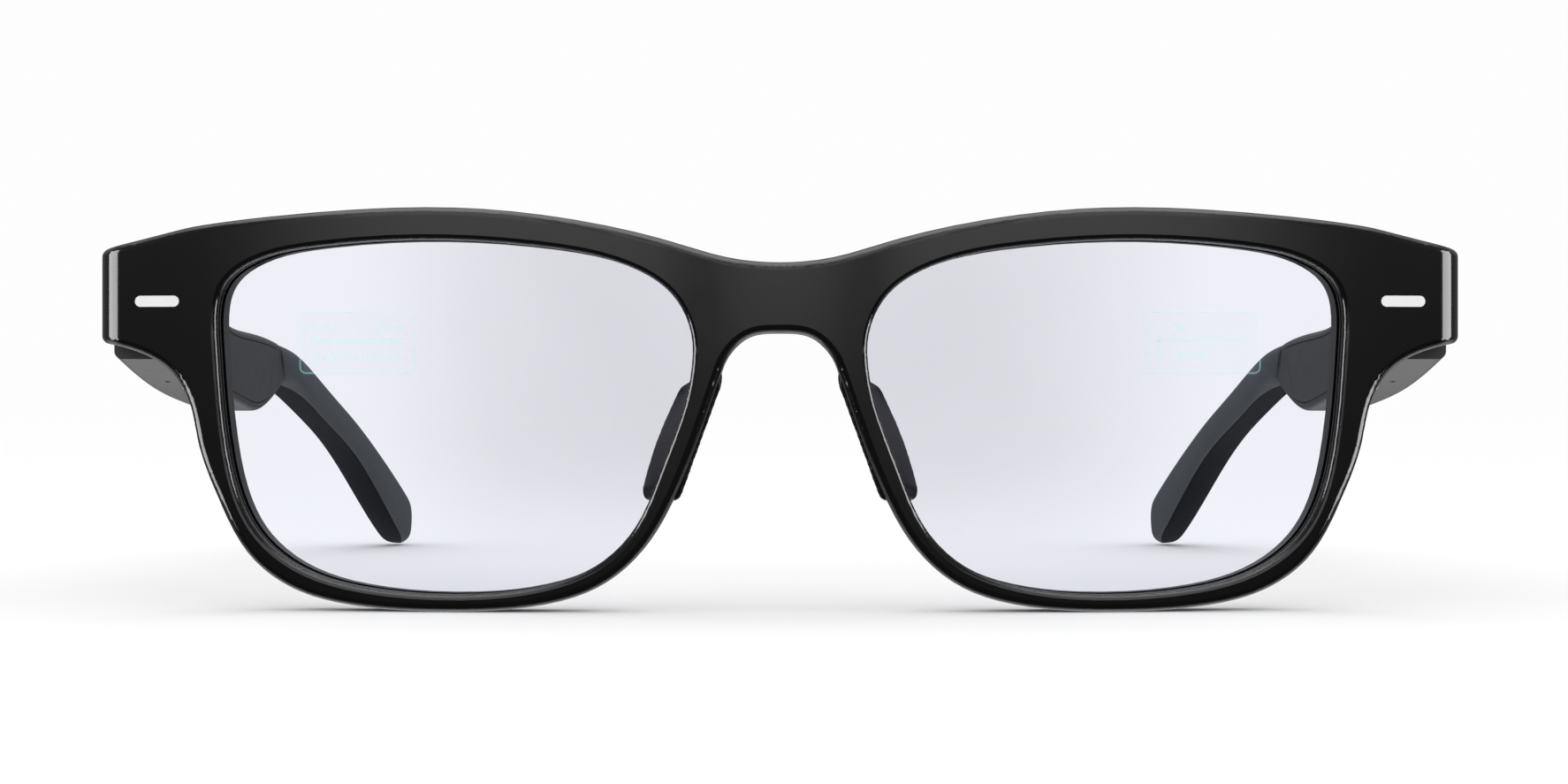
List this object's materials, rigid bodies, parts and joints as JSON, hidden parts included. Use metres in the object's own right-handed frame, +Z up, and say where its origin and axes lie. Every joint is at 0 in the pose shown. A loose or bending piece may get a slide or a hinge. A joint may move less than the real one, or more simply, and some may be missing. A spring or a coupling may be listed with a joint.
{
  "type": "smart glasses",
  "caption": "Smart glasses with a thick glossy front, clear display lenses, folding electronics temples, soft ear tips and a slim pill inlay on each end piece.",
  "frame": {"origin": "middle of the bounding box, at the level of the surface the glasses stand on", "axes": "+X towards the wearer's left temple, +Y from the front to the ear tips, +Z up"},
  "size_m": [0.154, 0.15, 0.0451],
  "materials": {
    "glossy_frame": "polished black",
    "clear_lens": "clear with a faint violet coating",
    "display_film": "pale cyan, lit",
    "seal": "matt black",
    "projector": "anodised grey",
    "white_inlay": "satin white",
    "soft_pad": "smooth, glossy black silicone",
    "steel": "satin",
    "ear_rubber": "matt slate",
    "temple_plastic": "satin dark grey",
    "button_plastic": "satin black",
    "flex_cable": "amber polyimide",
    "electronics": "matt black",
    "board": "green solder mask",
    "battery_pouch": "foil pouch",
    "gold_contact": "gold plated"
  },
  "bodies": {
    "front": {"bridge_flex": "flex_cable", "bridge_microphones": "electronics", "frame_rear_cover": "glossy_frame", "front_frame": "glossy_frame", "left_display_grating": "display_film", "left_display_projector": "projector", "left_end_piece_inlay": "white_inlay", "left_hinge_front_leaf": "steel", "left_hinge_front_screws": "steel", "left_hinge_pin": "steel", "left_lens": "clear_lens", "left_lens_seal": "seal", "left_nose_pad": "soft_pad", "left_nose_pad_clip": "steel", "left_waveguide": "clear_lens", "right_display_grating": "display_film", "right_display_projector": "projector", "right_end_piece_inlay": "white_inlay", "right_hinge_front_leaf": "steel", "right_hinge_front_screws": "steel", "right_hinge_pin": "steel", "right_lens": "clear_lens", "right_lens_seal": "seal", "right_nose_pad": "soft_pad", "right_nose_pad_clip": "steel", "right_waveguide": "clear_lens"},
    "left_temple": {"left_temple_shell": "temple_plastic", "left_temple_cover": "temple_plastic", "left_ear_tip": "ear_rubber", "left_ear_tip_core": "steel", "left_hinge_temple_leaf": "steel", "left_hinge_temple_screws": "steel", "left_touch_film": "flex_cable", "left_circuit_board": "board", "left_battery": "battery_pouch", "left_speaker": "electronics", "left_speaker_grille": "steel", "left_temple_microphone": "electronics"},
    "right_temple": {"right_temple_shell": "temple_plastic", "right_temple_cover": "temple_plastic", "right_ear_tip": "ear_rubber", "right_ear_tip_core": "steel", "right_hinge_temple_leaf": "steel", "right_hinge_temple_screws": "steel", "right_touch_film": "flex_cable", "right_circuit_board": "board", "right_battery": "battery_pouch", "right_speaker": "electronics", "right_speaker_grille": "steel", "right_temple_microphone": "electronics", "button_switch": "electronics", "charging_contacts": "gold_contact"},
    "action_button": {"action_button": "button_plastic"}
  },
  "joints": [
    {"name": "left_temple_fold", "type": "hinge", "parent": "front", "child": "left_temple", "pos_m": [0.07, -0.0595, 0.03435], "axis": [0, 0, 1], "range_deg": [0, 76]},
    {"name": "right_temple_fold", "type": "hinge", "parent": "front", "child": "right_temple", "pos_m": [-0.07, -0.0595, 0.03435], "axis": [0, 0, -1], "range_deg": [0, 85]},
    {"name": "action_button_press", "type": "slide", "parent": "right_temple", "child": "action_button", "axis": [0, -0.257, -0.9664], "range_m": [0, 0.0004], "stiffness_N_per_m": 400, "springref_m": -0.001}
  ]
}
